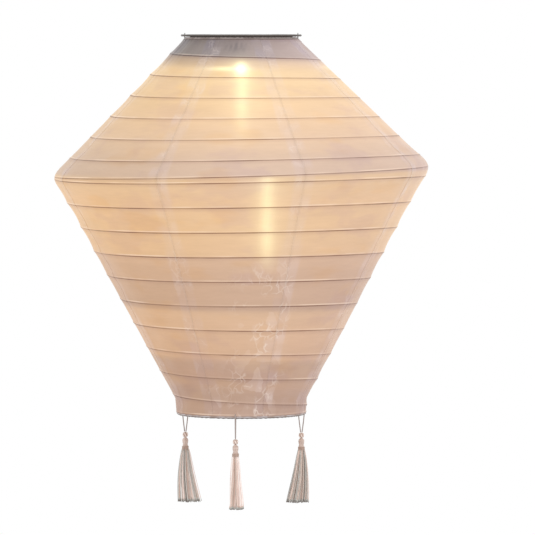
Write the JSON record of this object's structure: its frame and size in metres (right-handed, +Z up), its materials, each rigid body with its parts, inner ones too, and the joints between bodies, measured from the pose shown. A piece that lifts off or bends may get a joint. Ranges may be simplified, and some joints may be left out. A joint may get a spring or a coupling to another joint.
{
  "type": "paper lantern",
  "caption": "Hanging two-cone cloth lantern on a spiral wire, with a lift-out solar light unit, a wire bail, a folding shade and swinging tassels.",
  "frame": {"origin": "centre of the top rim, on top of its hem", "axes": "+Z up; the front faces -Y and +X is to the right seen from the front"},
  "size_m": [0.3048, 0.305, 0.382],
  "materials": {
    "nylon_cloth": "silky pearl nylon, lit from inside",
    "spring_wire": "drawn spring wire under the cloth",
    "steel_wire": "drawn stainless wire",
    "dark_plastic": "fine moulded grain",
    "grey_plastic": "fine moulded grain",
    "gasket_rubber": "matt rubber",
    "screw_steel": "plated",
    "clear_window": "clear gloss",
    "solar_cell": "dark blue crystalline",
    "board_green": "solder mask",
    "chip_black": "matt moulded",
    "coil_copper": "enamelled copper",
    "led_resin": "clear warm resin",
    "battery_wrap": "printed sleeve without a mark",
    "contact_metal": "nickel plated",
    "lead_red": "insulated wire",
    "lead_black": "insulated wire",
    "tassel_cord": "twisted cord",
    "tassel_thread": "silky thread",
    "tassel_binding": "wound thread"
  },
  "bodies": {
    "shade": {"top_ring": "steel_wire", "top_hem": "nylon_cloth", "shade_gore_1": "nylon_cloth", "shade_gore_2": "nylon_cloth", "shade_gore_3": "nylon_cloth", "shade_gore_4": "nylon_cloth", "shade_gore_5": "nylon_cloth", "shade_gore_6": "nylon_cloth", "shade_gore_7": "nylon_cloth", "shade_gore_8": "nylon_cloth", "spiral_rib": "spring_wire", "equator_hoop": "spring_wire"},
    "bail": {"bail_handle": "steel_wire"},
    "light_unit": {"housing_top": "dark_plastic", "housing_base": "grey_plastic", "housing_gasket": "gasket_rubber", "housing_screws": "screw_steel", "solar_window": "clear_window", "solar_cell": "solar_cell", "circuit_board": "board_green", "control_chip": "chip_black", "boost_coil": "coil_copper", "led": "led_resin", "battery_contact_positive": "contact_metal", "battery_contact_negative": "contact_metal", "switch_body": "chip_black", "solar_lead_red": "lead_red", "solar_lead_black": "lead_black", "battery_lead_red": "lead_red", "battery_lead_black": "lead_black", "stretcher_leg_right": "steel_wire", "stretcher_leg_left": "steel_wire"},
    "switch_slider": {"switch_slider": "chip_black"},
    "battery_door": {"battery_door": "grey_plastic"},
    "battery_cell": {"battery_cell": "battery_wrap"},
    "bottom_rim": {"bottom_ring": "steel_wire", "bottom_hem": "nylon_cloth"},
    "tassel_1_loop": {"tassel_1_cord": "tassel_cord"},
    "tassel_1": {"tassel_1_knot": "tassel_thread", "tassel_1_head": "tassel_thread", "tassel_1_binding": "tassel_binding", "tassel_1_skirt": "tassel_thread"},
    "tassel_2_loop": {"tassel_2_cord": "tassel_cord"},
    "tassel_2": {"tassel_2_knot": "tassel_thread", "tassel_2_head": "tassel_thread", "tassel_2_binding": "tassel_binding", "tassel_2_skirt": "tassel_thread"},
    "tassel_3_loop": {"tassel_3_cord": "tassel_cord"},
    "tassel_3": {"tassel_3_knot": "tassel_thread", "tassel_3_head": "tassel_thread", "tassel_3_binding": "tassel_binding", "tassel_3_skirt": "tassel_thread"}
  },
  "joints": [
    {"name": "bail_swing", "type": "hinge", "parent": "shade", "child": "bail", "pos_m": [0, 0, 0.0013], "axis": [-1, 0, 0], "range_deg": [0, 180]},
    {"name": "light_unit_lift", "type": "slide", "parent": "shade", "child": "light_unit", "axis": [0, 0, 1], "range_m": [0, 0.266]},
    {"name": "shell_collapse", "type": "slide", "parent": "shade", "child": "bottom_rim", "axis": [0, 0, 1], "range_m": [0, 0.266], "deforming": ["shade_gore_1", "shade_gore_2", "shade_gore_3", "shade_gore_4", "shade_gore_5", "shade_gore_6", "shade_gore_7", "shade_gore_8", "spiral_rib", "equator_hoop"]},
    {"name": "battery_door_pull", "type": "slide", "parent": "light_unit", "child": "battery_door", "axis": [0, 0, -1], "range_m": [0, 0.03]},
    {"name": "battery_out", "type": "slide", "parent": "light_unit", "child": "battery_cell", "axis": [0, 0, -1], "range_m": [0, 0.022]},
    {"name": "switch_slide", "type": "slide", "parent": "light_unit", "child": "switch_slider", "axis": [1, 0, 0], "range_m": [0, 0.003]},
    {"name": "tassel_1_swing", "type": "hinge", "parent": "bottom_rim", "child": "tassel_1_loop", "pos_m": [-0.04584, 0.02236, -0.304], "axis": [0.4384, 0.8988, 0], "range_deg": [-25, 60]},
    {"name": "tassel_1_sway", "type": "hinge", "parent": "tassel_1_loop", "child": "tassel_1", "pos_m": [-0.04584, 0.02236, -0.324], "axis": [-0.8988, 0.4384, 0], "range_deg": [-45, 45]},
    {"name": "tassel_2_swing", "type": "hinge", "parent": "bottom_rim", "child": "tassel_2_loop", "pos_m": [-0.00445, -0.05081, -0.304], "axis": [-0.9962, 0.0872, 0], "range_deg": [-25, 60]},
    {"name": "tassel_2_sway", "type": "hinge", "parent": "tassel_2_loop", "child": "tassel_2", "pos_m": [-0.00445, -0.05081, -0.324], "axis": [-0.0872, -0.9962, 0], "range_deg": [-45, 45]},
    {"name": "tassel_3_swing", "type": "hinge", "parent": "bottom_rim", "child": "tassel_3_loop", "pos_m": [0.04877, 0.01491, -0.304], "axis": [0.2924, -0.9563, 0], "range_deg": [-25, 60]},
    {"name": "tassel_3_sway", "type": "hinge", "parent": "tassel_3_loop", "child": "tassel_3", "pos_m": [0.04877, 0.01491, -0.324], "axis": [0.9563, 0.2924, 0], "range_deg": [-45, 45]}
  ],
  "couplings": [
    {"joint": "shell_collapse", "follows": "light_unit_lift", "ratio": 1},
    {"joint": "battery_out", "follows": "battery_door_pull", "ratio": 0.7}
  ]
}
